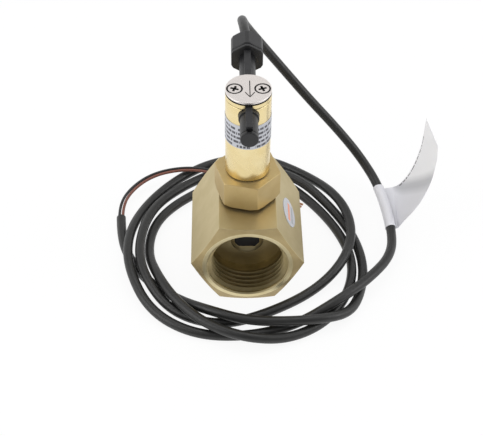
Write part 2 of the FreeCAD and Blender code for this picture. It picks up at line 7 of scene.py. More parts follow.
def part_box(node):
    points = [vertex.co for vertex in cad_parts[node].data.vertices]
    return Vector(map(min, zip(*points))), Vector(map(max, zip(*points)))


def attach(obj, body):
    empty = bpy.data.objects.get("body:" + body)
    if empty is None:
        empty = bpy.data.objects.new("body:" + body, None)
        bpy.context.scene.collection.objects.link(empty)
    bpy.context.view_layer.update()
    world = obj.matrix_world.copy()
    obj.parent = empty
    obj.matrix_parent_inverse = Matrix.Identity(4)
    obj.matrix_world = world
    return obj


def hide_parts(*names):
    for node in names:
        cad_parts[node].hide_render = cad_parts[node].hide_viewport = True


# Paddle flow switch: the looks of a brass tee with a head tube, a black reed rod and its cable.
# Everything is in metres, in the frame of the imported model: +Z up, +Y towards the inlet port.

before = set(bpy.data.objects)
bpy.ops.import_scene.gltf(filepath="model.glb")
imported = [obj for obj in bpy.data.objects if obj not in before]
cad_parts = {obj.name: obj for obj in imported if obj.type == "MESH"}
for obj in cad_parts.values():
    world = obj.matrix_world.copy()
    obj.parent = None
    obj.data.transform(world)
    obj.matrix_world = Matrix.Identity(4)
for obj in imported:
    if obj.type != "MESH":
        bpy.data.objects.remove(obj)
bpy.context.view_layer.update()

MM = 0.001
TURN = 2 * math.pi


def mm(*values):
    """Millimetres to metres, as a vector where there are three."""
    return Vector([v * MM for v in values])


# ---- sizes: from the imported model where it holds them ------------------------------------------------

tee_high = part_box("tee_body")[1]
adaptor_low, adaptor_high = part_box("hex_adaptor")
seal_low, seal_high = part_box("adaptor_seal")
tube_low, tube_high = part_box("head_tube")
saddle_low, saddle_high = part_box("clamp_saddle")
plate_low, plate_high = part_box("top_plate")
label_low, label_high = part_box("foil_label")
rod_low, rod_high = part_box("reed_rod")
cap_low, cap_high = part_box("rod_cap")
plug_low, plug_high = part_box("end_plug")
gland_low, gland_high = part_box("gland_body")
nut_low, nut_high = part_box("gland_nut")

across_flats = tee_high.z
half_length = tee_high.y
port_axis = across_flats / 2
end_ring = port_axis - 1.6 * MM
end_setback = 1.7 * MM
thread_minor = 15.15 * MM
thread_depth = 1.475 * MM
thread_pitch = 2.309 * MM
thread_length = 11.6 * MM
mouth_chamfer = 2.0 * MM
lip = 0.15 * MM
port_depth = 15.4 * MM
passage_radius = 7.0 * MM
head_bore_radius = 8.6 * MM
socket_radius = 9.0 * MM
socket_depth = 4.5 * MM

adaptor_across = 24.2 * MM
adaptor_turn = -13.7
adaptor_top = adaptor_high.z
adaptor_bore = 6.35 * MM
adaptor_chamfer = 1.0 * MM

tube_radius = tube_high.x
tube_top = tube_high.z
tube_foot = adaptor_top + 0.5 * MM
rod_radius = 3.3 * MM
rod_axis = rod_low.z + rod_radius
rib_half = 1.35 * MM
rib_top = rod_high.z
plate_top = plate_high.z
screw_place = tube_radius - 3.65 * MM
screw_radius = 2.8 * MM

# ---- modelling helpers -------------------------------------------------------------------------------

ALONG = {"Z": Matrix.Identity(4), "Y": Matrix.Rotation(math.radians(-90), 4, "X")}


def only(*pieces):
    """Selects these objects and nothing else, the first one active."""
    bpy.ops.object.select_all(action="DESELECT")
    for piece in pieces:
        piece.select_set(True)
    bpy.context.view_layer.objects.active = pieces[0]


def settle(piece, name, place):
    """Names a piece and fixes its place in its mesh."""
    piece.name = name
    piece.data.name = name
    piece.matrix_world = place
    only(piece)
    bpy.ops.object.transform_apply(location=True, rotation=True, scale=True)
    return piece


def placed(axis, centre):
    """The place of something built along Z that is to lie along the axis through centre."""
    return Matrix.Translation(centre) @ ALONG[axis]


def turned(name, profile, axis="Z", centre=(0, 0, 0), segments=96, closed=False, twist=0.0):
    """A turned piece: a disc drawn out from point to point of its profile of (radius, distance).

    A closed profile comes back to its first point, so it starts from an open ring.
    Twist turns the piece's facets about its own axis, in degrees.
    """
    radius, start = profile[0]
    bpy.ops.object.select_all(action="DESELECT")
    fill = "NOTHING" if closed else "NGON"
    bpy.ops.mesh.primitive_circle_add(vertices=segments, radius=radius, fill_type=fill)
    piece = bpy.context.object
    bpy.ops.object.mode_set(mode="EDIT")
    bpy.ops.mesh.select_all(action="SELECT")
    points = profile + [profile[0]] if closed else profile
    for (radius, here), (wider, there) in zip(points, points[1:]):
        bpy.ops.mesh.extrude_region_move(TRANSFORM_OT_translate={"value": (0, 0, there - here)})
        if wider != radius:
            bpy.ops.transform.resize(value=(wider / radius, wider / radius, 1))
    bpy.ops.mesh.select_all(action="SELECT")
    bpy.ops.mesh.remove_doubles(threshold=0.001 * MM)
    bpy.ops.mesh.normals_make_consistent(inside=False)
    bpy.ops.object.mode_set(mode="OBJECT")
    place = placed(axis, centre) @ Matrix.Rotation(math.radians(twist), 4, "Z")
    return settle(piece, name, place @ Matrix.Translation((0, 0, start)))


def hexagon(name, across, low, high, axis="Z", centre=(0, 0, 0), corner=0.0):
    """A hexagonal bar with its first corner at that angle, in degrees."""
    bpy.ops.object.select_all(action="DESELECT")
    bpy.ops.mesh.primitive_cylinder_add(vertices=6, radius=across / math.sqrt(3), depth=high - low)
    turn = Matrix.Rotation(math.radians(corner - 90), 4, "Z")
    middle = Matrix.Translation((0, 0, (low + high) / 2))
    return settle(bpy.context.object, name, placed(axis, centre) @ middle @ turn)


def chamfered_hexagon(name, across, low, high, ring, setback, axis="Z", centre=(0, 0, 0), corner=0.0,
                      far=None):
    """A hexagonal bar whose corners are turned down at each end.

    Ring and setback give the radius left on the end and how far in the corners begin; the far
    end may have its own pair.
    """
    bar = hexagon(name, across, low, high, axis, centre, corner)
    outer = across / math.sqrt(3)
    far_ring, far_setback = far or (ring, setback)
    slope = (outer - ring) / setback
    far_slope = (outer - far_ring) / far_setback
    profile = [(ring - slope * MM, low - MM), (outer + slope * MM, low + setback + MM),
               (outer + far_slope * MM, high - far_setback - MM), (far_ring - far_slope * MM, high + MM)]
    # Half a facet round, so that each corner of the bar falls in the middle of a facet.
    blank = turned("blank", profile, axis, centre, segments=180, twist=corner - 90 + 1)
    return boolean(bar, [blank], "INTERSECT")


def block(name, low, high, place=Matrix.Identity(4)):
    """A box between two corners, which place may then move and turn."""
    bpy.ops.object.select_all(action="DESELECT")
    bpy.ops.mesh.primitive_cube_add(size=1)
    low, high = Vector(low), Vector(high)
    size = Matrix.Diagonal((*(high - low), 1))
    return settle(bpy.context.object, name, place @ Matrix.Translation((low + high) / 2) @ size)


def boolean(piece, others, operation="DIFFERENCE"):
    """Cuts the others out of a piece, or joins or crosses them with it, and uses them up."""
    for other in others:
        modifier = piece.modifiers.new(operation, "BOOLEAN")
        modifier.operation = operation
        modifier.solver = "MANIFOLD"
        modifier.object = other
        only(piece)
        bpy.ops.object.modifier_apply(modifier=modifier.name)
        bpy.data.objects.remove(other)
    return piece


def ease(piece, width, angle=32, segments=2):
    """Rounds the edges sharper than the angle, as a light deburring does."""
    modifier = piece.modifiers.new("edges", "BEVEL")
    modifier.width = width
    modifier.segments = segments
    modifier.limit_method = "ANGLE"
    modifier.angle_limit = math.radians(angle)
    modifier.use_clamp_overlap = False
    only(piece)
    bpy.ops.object.modifier_apply(modifier=modifier.name)
    return piece


def shade(piece, angle=28):
    """Smooths what is round and keeps the flats flat."""
    only(piece)
    bpy.ops.object.shade_smooth_by_angle(angle=math.radians(angle))
    modifier = piece.modifiers.new("normals", "WEIGHTED_NORMAL")
    modifier.keep_sharp = True
    bpy.ops.object.modifier_apply(modifier=modifier.name)
    return piece


def done(piece, finish, body, node, angle=28):
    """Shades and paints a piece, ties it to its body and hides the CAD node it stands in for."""
    shade(piece, angle)
    piece.data.materials.clear()
    for material in finish if isinstance(finish, list) else [finish]:
        piece.data.materials.append(material)
    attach(piece, body)
    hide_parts(node)
    return piece


# ---- materials ---------------------------------------------------------------------------------------


def colour(hex_value):
    """An sRGB hex colour as linear RGBA."""
    channels = [int(hex_value[i:i + 2], 16) / 255 for i in (0, 2, 4)]
    return [c / 12.92 if c <= 0.04045 else ((c + 0.055) / 1.055) ** 2.4 for c in channels] + [1.0]


def add(tree, kind, links=None, **settings):
    """Adds a node; links gives its inputs, each a plain value or another node's output."""
    node = tree.nodes.new(kind)
    for key, value in settings.items():
        setattr(node, key, value)
    for key, value in (links or {}).items():
        if isinstance(value, bpy.types.NodeSocket):
            tree.links.new(value, node.inputs[key])
        else:
            node.inputs[key].default_value = value
    return node


def surface(name, base, roughness, metallic=0.0, **sockets):
    """A material with one principled shader, its tree and that shader."""
    material = bpy.data.materials.new(name)
    material.use_nodes = True
    tree = material.node_tree
    shader = tree.nodes["Principled BSDF"]
    shader.inputs["Base Color"].default_value = colour(base)
    shader.inputs["Roughness"].default_value = roughness
    shader.inputs["Metallic"].default_value = metallic
    for key, value in sockets.items():
        shader.inputs[key.replace("_", " ")].default_value = value
    return material, tree, shader


def blended(tree, factor, first, second):
    """A colour between two hex colours or sockets, by factor."""
    ends = {6: first if not isinstance(first, str) else colour(first),
            7: second if not isinstance(second, str) else colour(second)}
    return add(tree, "ShaderNodeMix", {0: factor, **ends}, data_type="RGBA").outputs[2]


def ranged(tree, value, low, high, to_low, to_high):
    """A value moved from one range to another, and held at the ends."""
    node = add(tree, "ShaderNodeMapRange", {0: value, 1: low, 2: high, 3: to_low, 4: to_high})
    return node.outputs[0]


def place_in_object(tree):
    """Each point's place in metres."""
    return add(tree, "ShaderNodeTexCoord").outputs["Object"]


def bumped(tree, shader, height, distance):
    """Gives the shader a relief of that distance, in metres."""
    node = add(tree, "ShaderNodeBump", {"Height": height, "Distance": distance})
    tree.links.new(node.outputs[0], shader.inputs["Normal"])


def from_axis(tree, point, axis, centre):
    """Distance of each point from a line along Y or Z through centre."""
    keep = (1, 0, 1) if axis == "Y" else (1, 1, 0)
    moved = add(tree, "ShaderNodeVectorMath", {0: point, 1: centre}, operation="SUBTRACT").outputs[0]
    flat = add(tree, "ShaderNodeVectorMath", {0: moved, 1: keep}, operation="MULTIPLY").outputs[0]
    return add(tree, "ShaderNodeVectorMath", {0: flat}, operation="LENGTH").outputs["Value"]


def grain(tree, point, size, detail=3.0, roughness=0.55):
    """Noise whose lumps are about size metres across."""
    node = add(tree, "ShaderNodeTexNoise", {"Vector": point, "Scale": 1 / size, "Detail": detail,
                                            "Roughness": roughness})
    return node.outputs["Fac"]


def streaks(tree, distance, size):
    """Fine lines that change only with distance, size metres apart."""
    node = add(tree, "ShaderNodeTexNoise", {"W": distance, "Scale": 1 / size, "Detail": 2.0},
               noise_dimensions="1D")
    return node.outputs["Fac"]


def machined_brass(name, base, darker, axis, centre, roughness, metallic=1.0):
    """Machined brass, dulled in a wash: a satin metal with faint tool rings and a cloudy tone.

    Below 1, metallic stands for the thin oxide film that scatters the light on rougher cuts.
    """
    material, tree, shader = surface(name, base, roughness, metallic=metallic)
    point = place_in_object(tree)
    lines = streaks(tree, from_axis(tree, point, axis, centre), 0.3 * MM)
    clouds = grain(tree, point, 8 * MM, detail=4.0)
    fine = grain(tree, point, 0.3 * MM, detail=2.0)
    tree.links.new(blended(tree, ranged(tree, clouds, 0.35, 0.65, 0.0, 1.0), base, darker),
                   shader.inputs["Base Color"])
    tree.links.new(ranged(tree, clouds, 0.3, 0.7, roughness - 0.02, roughness + 0.03),
                   shader.inputs["Roughness"])
    height = add(tree, "ShaderNodeMath", {0: lines, 1: fine}, operation="ADD").outputs[0]
    bumped(tree, shader, height, 0.003 * MM)
    return material


def polished_brass():
    """Polished brass: a bright pale gold that wavers very slightly, as buffed metal does."""
    material, tree, shader = surface("polished_brass", "EFDCA8", 0.27, metallic=1.0)
    point = place_in_object(tree)
    clouds = grain(tree, point, 6 * MM, detail=1.0)
    tree.links.new(blended(tree, clouds, "F2E2B4", "EAD49A"), shader.inputs["Base Color"])
    tree.links.new(ranged(tree, clouds, 0.3, 0.7, 0.25, 0.29), shader.inputs["Roughness"])
    bumped(tree, shader, clouds, 0.01 * MM)
    return material


def satin_nickel():
    """Nickel-plated steel, faced on a lathe: pale, slightly warm, with very fine rings."""
    material, tree, shader = surface("satin_nickel", "F4EFEC", 0.34, metallic=0.8)
    point = place_in_object(tree)
    rings = streaks(tree, from_axis(tree, point, "Z", (0, 0, 0)), 0.15 * MM)
    speckle = grain(tree, point, 0.25 * MM, detail=1.0)
    tree.links.new(blended(tree, speckle, "F7F1ED", "E6DEDA"), shader.inputs["Base Color"])
    tree.links.new(ranged(tree, rings, 0.3, 0.7, 0.26, 0.36), shader.inputs["Roughness"])
    bumped(tree, shader, rings, 0.002 * MM)
    return material


def lacquer_and_painted_shade():
    """Dark lacquer in the engraved arrow, and painted shade in the joint gaps, the countersinks and deep in
    the screws' recesses.
    """
    material, tree, shader = surface("engraving_lacquer_and_shade", "242120", 0.75)
    bumped(tree, shader, grain(tree, place_in_object(tree), 0.2 * MM), 0.01 * MM)
    return material


def black_nylon():
    """Moulded black polyamide: dark grey in the light, with a fine spark-eroded grain."""
    material, tree, shader = surface("black_nylon", "2B2B2E", 0.42, IOR=1.53)
    point = place_in_object(tree)
    fine = grain(tree, point, 0.3 * MM, detail=2.0)
    clouds = grain(tree, point, 6 * MM)
    tree.links.new(blended(tree, clouds, "141416", "1C1C1F"), shader.inputs["Base Color"])
    tree.links.new(ranged(tree, fine, 0.3, 0.7, 0.36, 0.5), shader.inputs["Roughness"])
    bumped(tree, shader, fine, 0.012 * MM)
    return material


def pvc(name, base, paler, roughness=0.38):
    """Extruded soft PVC: even colour, a soft sheen and a faint ripple from the die."""
    material, tree, shader = surface(name, base, roughness, IOR=1.54)
    point = place_in_object(tree)
    ripple = grain(tree, point, 1.6 * MM, detail=2.0)
    clouds = grain(tree, point, 14 * MM)
    tree.links.new(blended(tree, clouds, base, paler), shader.inputs["Base Color"])
    tree.links.new(ranged(tree, ripple, 0.3, 0.7, roughness - 0.05, roughness + 0.08),
                   shader.inputs["Roughness"])
    bumped(tree, shader, ripple, 0.02 * MM)
    return material


def soft_rubber():
    """Moulded nitrile rubber: black and dull."""
    material, tree, shader = surface("nitrile_rubber", "1C1C1C", 0.7, IOR=1.52)
    bumped(tree, shader, grain(tree, place_in_object(tree), 0.4 * MM), 0.02 * MM)
    return material


def spring_steel():
    """Ground stainless steel: grey, with short fine scratches."""
    material, tree, shader = surface("stainless_steel", "B4B4B6", 0.3, metallic=1.0)
    point = place_in_object(tree)
    scratches = grain(tree, point, 0.3 * MM, detail=4.0)
    tree.links.new(ranged(tree, scratches, 0.3, 0.7, 0.22, 0.4), shader.inputs["Roughness"])
    bumped(tree, shader, scratches, 0.004 * MM)
    return material


def sintered_ferrite():
    """Sintered ferrite magnet: charcoal grey and slightly gritty."""
    material, tree, shader = surface("sintered_ferrite", "3B3B3D", 0.55, metallic=0.3)
    bumped(tree, shader, grain(tree, place_in_object(tree), 0.2 * MM, detail=5.0), 0.02 * MM)
    return material


def drawn_glass():
    """Drawn soda glass with a faint green tint."""
    material, tree, shader = surface("reed_glass", "DCEBE3", 0.04, IOR=1.51, Transmission_Weight=1.0)
    bumped(tree, shader, grain(tree, place_in_object(tree), 1.5 * MM), 0.004 * MM)
    return material


def cast_resin():
    """Cast potting resin: black, glossy, with a slightly wavy skin."""
    material, tree, shader = surface("potting_resin", "17171A", 0.2, IOR=1.55)
    bumped(tree, shader, grain(tree, place_in_object(tree), 1.2 * MM), 0.03 * MM)
    return material


def copper_strand():
    """Bare stranded copper: orange brown with pale tinned patches."""
    material, tree, shader = surface("bare_copper", "C8875A", 0.35, metallic=1.0)
    patches = grain(tree, place_in_object(tree), 0.8 * MM)
    tree.links.new(blended(tree, patches, "C07A4E", "D9B08A"), shader.inputs["Base Color"])
    bumped(tree, shader, patches, 0.01 * MM)
    return material


def printed_foil(bottom, height):
    """Silver polyester foil with rows of plain dashes: satin, cool grey, dark grey print."""
    material, tree, shader = surface("printed_foil", "C6C8CE", 0.34, metallic=0.55)
    point = place_in_object(tree)
    axes = add(tree, "ShaderNodeSeparateXYZ", {0: point})
    angle = add(tree, "ShaderNodeMath", {0: axes.outputs["X"], 1: axes.outputs["Y"]},
                operation="ARCTAN2").outputs[0]
    level = add(tree, "ShaderNodeMath", {0: axes.outputs["Z"], 1: bottom}, operation="SUBTRACT").outputs[0]
    rows = add(tree, "ShaderNodeMath", {0: level, 1: height / 5.5}, operation="DIVIDE").outputs[0]
    row = add(tree, "ShaderNodeMath", {0: rows}, operation="FLOOR").outputs[0]
    within = add(tree, "ShaderNodeMath", {0: rows}, operation="FRACT").outputs[0]
    band = add(tree, "ShaderNodeMath", {0: within, 1: 0.5, 2: 0.27}, operation="COMPARE").outputs[0]
    # Dashes of about 1 mm along the tube, different in each row.
    spot = add(tree, "ShaderNodeCombineXYZ", {0: angle, 1: row, 2: 0.0}).outputs[0]
    dash = add(tree, "ShaderNodeTexNoise", {"Vector": spot, "Scale": 13.0, "Detail": 0.0}).outputs["Fac"]
    word = add(tree, "ShaderNodeTexNoise", {"Vector": spot, "Scale": 2.2, "Detail": 0.0}).outputs["Fac"]
    inked = add(tree, "ShaderNodeMath", {0: dash, 1: 0.43}, operation="GREATER_THAN").outputs[0]
    worded = add(tree, "ShaderNodeMath", {0: word, 1: 0.36}, operation="GREATER_THAN").outputs[0]
    ink = add(tree, "ShaderNodeMath", {0: inked, 1: worded}, operation="MULTIPLY").outputs[0]
    ink = add(tree, "ShaderNodeMath", {0: ink, 1: band}, operation="MULTIPLY").outputs[0]
    margin = ranged(tree, level, height * 0.9, height * 0.92, 1.0, 0.0)
    ink = add(tree, "ShaderNodeMath", {0: ink, 1: margin}, operation="MULTIPLY").outputs[0]
    tone = blended(tree, grain(tree, point, 3 * MM), "CDCFD5", "B9BBC2")
    tree.links.new(blended(tree, ink, tone, "4A4A50"), shader.inputs["Base Color"])
    tree.links.new(ranged(tree, ink, 0, 1, 0.55, 0.0), shader.inputs["Metallic"])
    bumped(tree, shader, grain(tree, point, 0.6 * MM), 0.003 * MM)
    return material


def sticker_film(centre, across):
    """Clear-coated film sticker: silver grey with a plain orange bar and a grey one under it."""
    material, tree, shader = surface("sticker_film", "BFC1C6", 0.22, Coat_Weight=0.6)
    point = place_in_object(tree)
    moved = add(tree, "ShaderNodeVectorMath", {0: point, 1: centre}, operation="SUBTRACT").outputs[0]
    side = add(tree, "ShaderNodeVectorMath", {0: moved, 1: across}, operation="DOT_PRODUCT").outputs["Value"]
    along = add(tree, "ShaderNodeSeparateXYZ", {0: moved}).outputs["Y"]
    bar = add(tree, "ShaderNodeMath", {0: side, 1: 0.3 * MM, 2: 0.9 * MM}, operation="COMPARE").outputs[0]
    reach = add(tree, "ShaderNodeMath", {0: along, 1: 0.0, 2: 5.0 * MM}, operation="COMPARE").outputs[0]
    orange = add(tree, "ShaderNodeMath", {0: bar, 1: reach}, operation="MULTIPLY").outputs[0]
    low_bar = add(tree, "ShaderNodeMath", {0: side, 1: -2.3 * MM, 2: 0.7 * MM},
                  operation="COMPARE").outputs[0]
    grey_bar = add(tree, "ShaderNodeMath", {0: low_bar, 1: reach}, operation="MULTIPLY").outputs[0]
    tone = blended(tree, grain(tree, point, 2.5 * MM), "B4B5BA", "9A9DA6")
    tone = blended(tree, grey_bar, tone, "7E8288")
    tree.links.new(blended(tree, orange, tone, "D9713A"), shader.inputs["Base Color"])
    bumped(tree, shader, grain(tree, point, 1.2 * MM), 0.006 * MM)
    return material


def coated_paper():
    """Coated label paper: cool white, satin, painted grey shade where it curls, one printed rule."""
    material, tree, shader = surface("coated_paper", "E6E6EA", 0.45)
    marks = add(tree, "ShaderNodeUVMap", uv_map="sheet").outputs[0]
    axes = add(tree, "ShaderNodeSeparateXYZ", {0: marks})
    along, across = axes.outputs["X"], axes.outputs["Y"]
    fibres = grain(tree, place_in_object(tree), 0.5 * MM, detail=4.0)
    # The leaf bends most along a slanting line: painted shade makes it greyest there, and it is painted paler
    # above that line than below.
    shade_line = 0.49
    slant = add(tree, "ShaderNodeMath", {0: across, 1: -0.31, 2: along}, operation="MULTIPLY_ADD").outputs[0]
    off = add(tree, "ShaderNodeMath", {0: slant, 1: shade_line}, operation="SUBTRACT").outputs[0]
    away = add(tree, "ShaderNodeMath", {0: off}, operation="ABSOLUTE").outputs[0]
    bend_shade = ranged(tree, away, 0.015, 0.08, 1.0, 0.0)
    on_leaf = ranged(tree, along, 0.43, 0.45, 0.0, 1.0)
    bend_shade = add(tree, "ShaderNodeMath", {0: bend_shade, 1: on_leaf}, operation="MULTIPLY").outputs[0]
    rule = add(tree, "ShaderNodeMath", {0: across, 1: 0.045, 2: 0.016}, operation="COMPARE").outputs[0]
    run = add(tree, "ShaderNodeMath", {0: along, 1: 0.69, 2: 0.18}, operation="COMPARE").outputs[0]
    gaps = add(tree, "ShaderNodeTexNoise", {"W": along, "Scale": 90.0, "Detail": 0.0},
               noise_dimensions="1D").outputs["Fac"]
    dashes = add(tree, "ShaderNodeMath", {0: gaps, 1: 0.42}, operation="GREATER_THAN").outputs[0]
    ink = add(tree, "ShaderNodeMath", {0: rule, 1: run}, operation="MULTIPLY").outputs[0]
    ink = add(tree, "ShaderNodeMath", {0: ink, 1: dashes}, operation="MULTIPLY").outputs[0]
    paper = blended(tree, fibres, "FAFAFC", "F1F1F4")
    # Painted shade: a darker copy of the paper for the part below the bend line.
    lower = blended(tree, fibres, "E9E9EE", "E0E0E6")
    paper = blended(tree, ranged(tree, off, -0.02, 0.05, 0.0, 1.0), lower, paper)
    # Painted shade: the grey laid along the bend.
    soft = add(tree, "ShaderNodeMath", {0: bend_shade, 1: 0.75}, operation="MULTIPLY").outputs[0]
    paper = blended(tree, soft, paper, "B4B5B9")
    tree.links.new(blended(tree, ink, paper, "55555A"), shader.inputs["Base Color"])
    bumped(tree, shader, fibres, 0.004 * MM)
    return material


# ---- camera ------------------------------------------------------------------------------------------

camera_azimuth = math.radians(-1.178)
camera_height = math.radians(44.226)
camera_roll = math.radians(0.525)
camera_distance = 510.887 * MM
camera_target = mm(-2.276, 0, 25.666)
camera_lens = 89.09

back = Vector((math.sin(camera_azimuth) * math.cos(camera_height),
               -math.cos(camera_azimuth) * math.cos(camera_height), math.sin(camera_height)))
camera_data = bpy.data.cameras.new("camera")
camera_data.lens = camera_lens
camera_data.sensor_width = 36.0
camera = bpy.data.objects.new("camera", camera_data)
bpy.context.scene.collection.objects.link(camera)
camera.matrix_world = (Matrix.Translation(camera_target + back * camera_distance)
                       @ back.to_track_quat("Z", "Y").to_matrix().to_4x4()
                       @ Matrix.Rotation(camera_roll, 4, "Z"))
camera_data.clip_start = 0.01
bpy.context.scene.camera = camera
bpy.context.scene.view_settings.view_transform = "Standard"

# ---- cable, cores and flag ---------------------------------------------------------------------------

cable_radius = 2.1 * MM
core_radius = 0.65 * MM
core_spacing = 0.8 * MM

# Route of the cable: straight out of the gland, down in one arc to the right, then
# about three and a half loose turns round the tee, to the cut end of the sheath on the left.
cable_route = [
    (0, 31, 88.6), (0, 41.5, 88.6), (-1, 51.5, 88.6), (-1.8, 61.5, 85.4), (-0.3, 69.7, 76.5),
    (6.3, 73.2, 65), (16.8, 69.6, 53), (29.2, 63.6, 40), (42.8, 57.9, 26.5), (53.8, 51, 15.3),
    (62, 37.5, 8.4),
    (65.6, 15, 4.5), (63.8, -2.5, 5.2), (52.3, -18.3, 7), (38.5, -31, 7.8), (20, -40.5, 2.3),
    (-2, -46.5, 2.2), (-24, -44.5, 2.2), (-42, -31.5, 2.8), (-51.5, -10, 6.8), (-52.3, 10, 6.8),
    (-45.2, 33, 3), (-30, 52.5, 2.2), (-12, 64, 2.2), (9, 65.5, 2.2), (28, 53.5, 2.6),
    (42.5, 34, 7), (48, 14, 7), (43.5, -6, 6.8), (30, -20.5, 2.4), (9, -33.5, 2.2),
    (-12, -40.5, 2.2), (-32.5, -33, 2.6), (-44.7, -15.5, 7.4), (-47.6, 4, 7), (-42.9, 27, 5.5),
    (-29, 45.5, 2.4), (-10, 57.5, 2.2), (13, 53, 2.2), (29, 37, 2.2), (41.5, 16.5, 2.2),
    (47, -3.5, 2.2), (43.8, -22, 2.2), (33, -38.5, 2.2), (17, -48, 2.6), (0, -51, 6.8),
    (-16.5, -44, 6.8), (-29.2, -31.5, 6.8), (-38, -17, 7.2), (-43.8, 2, 2.8), (-41, 22, 2.2),
    (-28, 37.5, 2.2), (-8, 49.5, 2.3), (10, 52, 6.8), (25.5, 45.5, 6.8), (39.5, 30.5, 2.6),
    (48.3, 12.5, 2.2), (51.5, -6, 2.2), (48.5, -23, 2.2), (43, -34, 3), (32, -41, 7.2),
    (16, -42.5, 7.2), (-1, -41.5, 7), (-16, -35.5, 6.6), (-29.5, -26, 2.5), (-43.8, -14, 2.2),
    (-52, 0, 2.2), (-55.8, 13, 2.2), (-56.5, 24.7, 2.2),
]
# Route of the two cores, from the cut end of the sheath round behind the tee.
core_route = [
    (-56.5, 24.7, 2.2), (-57.05, 33.9, 2.2), (-51.5, 43.3, 4.2), (-42.5, 50, 5.8), (-31, 53.3, 6.2),
    (-20, 52.8, 6.4), (-9.5, 48.2, 7), (1, 44, 4.4), (10, 41.3, 1.6), (17, 38.4, 1.1), (22, 35.6, 1.1),
]


def cord_line(name, points, radius):
    """A smooth cord: a spline whose control points are the route."""
    data = bpy.data.curves.new(name, "CURVE")
    data.dimensions = "3D"
    data.resolution_u = 10
    data.bevel_depth = radius
    data.bevel_resolution = 6
    data.use_fill_caps = True
    spline = data.splines.new("NURBS")
    spline.points.add(len(points) - 1)
    for control, point in zip(spline.points, points):
        control.co = (*point, 1)
    spline.order_u = 3
    spline.use_endpoint_u = True
    cord = bpy.data.objects.new(name, data)
    bpy.context.scene.collection.objects.link(cord)
    return cord


def centreline(cord):
    """Points along a cord's own line."""
    copy = cord.copy()
    copy.data = cord.data.copy()
    copy.data.bevel_depth = 0
    mesh = bpy.data.meshes.new_from_object(copy)
    points = [v.co.copy() for v in mesh.vertices]
    bpy.data.objects.remove(copy)
    bpy.data.meshes.remove(mesh)
    return points


def beside(points, offset):
    """The same route, moved sideways over the floor."""
    moved = []
    for i, here in enumerate(points):
        heading = points[min(i + 1, len(points) - 1)] - points[max(i - 1, 0)]
        sideways = Vector((-heading.y, heading.x, 0)).normalized()
        moved.append(here + sideways * offset)
    return moved


cable_points = [mm(*p) for p in cable_route]
core_points = [mm(*p) for p in core_route]
sheath_pvc = pvc("black_pvc_sheath", "1B1B1A", "222221")

cable = cord_line("cable", cable_points, cable_radius)
cable.data.materials.append(sheath_pvc)
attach(cable, "reed")
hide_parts("cable_sheath")

cores = []
for core_name, node, side, insulation in (
    ("core_dark", "core_black", 1, pvc("black_core_pvc", "1B1B1C", "252526", 0.45)),
    ("core_red_brown", "core_brown", -1, pvc("brown_core_pvc", "6B3A30", "80503F", 0.45)),
):
    core = cord_line(core_name, beside(core_points, side * core_spacing), core_radius)
    core.data.materials.append(insulation)
    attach(core, "reed")
    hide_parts(node)
    cores.append(core)

strand_length = 5.0 * MM
wire_radius = 0.14 * MM


def make_strands():
    """Bare strands: seven wires a core, one in the middle and six round it with a slight twist."""
    steps = 4
    twist = 0.9
    wires = []
    for side in (-1, 1):
        route = beside(core_points, side * core_spacing)
        heading = (route[-1] - route[-2]).normalized()
        turn = heading.to_track_quat("Z", "Y").to_matrix().to_4x4()
        place = Matrix.Translation(route[-1]) @ turn
        for i in range(7):
            angle = TURN * i / 6
            out = 0 if i == 6 else 1.9 * wire_radius
            spread = 1 + 0.25 * ((i * 5) % 3)
            line = []
            for k in range(steps + 1):
                t = k / steps
                a = angle + twist * t
                r = out * (1 + 0.35 * spread * t * t)
                line.append(place @ Vector((r * math.cos(a), r * math.sin(a), t * strand_length)))
            wire = cord_line("wire", line, wire_radius)
            wire.data.bevel_resolution = 2
            wires.append(wire)
    only(*wires)
    bpy.ops.object.convert(target="MESH")
    bpy.ops.object.join()
    strands = bpy.context.object
    strands.name = "bare_strands"
    return done(strands, copper_strand(), "reed", "strand_ends")


strands = make_strands()

# The flag: one strip of paper, wrapped round the cable and standing up as a leaf to its right.
flag_thickness = 0.22 * MM
flag_start = 10
flag_wrap_radius = cable_radius + 0.2 * MM
# The leaf's two edges, seen along the cable: how far out and how far up each point is.
leaf_upper = [(7.0, -1.2), (10.0, 0.6), (12.9, 6.6), (14.6, 13.4), (15.5, 20), (16.0, 27), (15.9, 34),
              (15.6, 40.5), (15.4, 46)]
leaf_lower = [(3.6, -0.8), (5.9, 4.6), (8.8, 10.6), (11.1, 17), (12.6, 24), (13.5, 31.5), (13.7, 39),
              (13.4, 47.5), (12.2, 56)]


def smooth_line(points, count):
    """Evenly numbered points on a smooth curve through the given ones."""
    line = []
    last = len(points) - 1
    for k in range(count):
        t = k / (count - 1) * last
        i = min(int(t), last - 1)
        f = t - i
        p = [points[max(0, min(last, j))] for j in (i - 1, i, i + 1, i + 2)]
        line.append(tuple(
            0.5 * (2 * b + (c - a) * f + (2 * a - 5 * b + 4 * c - d) * f * f
                   + (3 * b - a - 3 * c + d) * f * f * f)
            for a, b, c, d in zip(*p)))
    return line


def nearest(line, point):
    """The index of the point on a line that is nearest to this one."""
    return min(range(len(line)), key=lambda i: (line[i] - point).length)


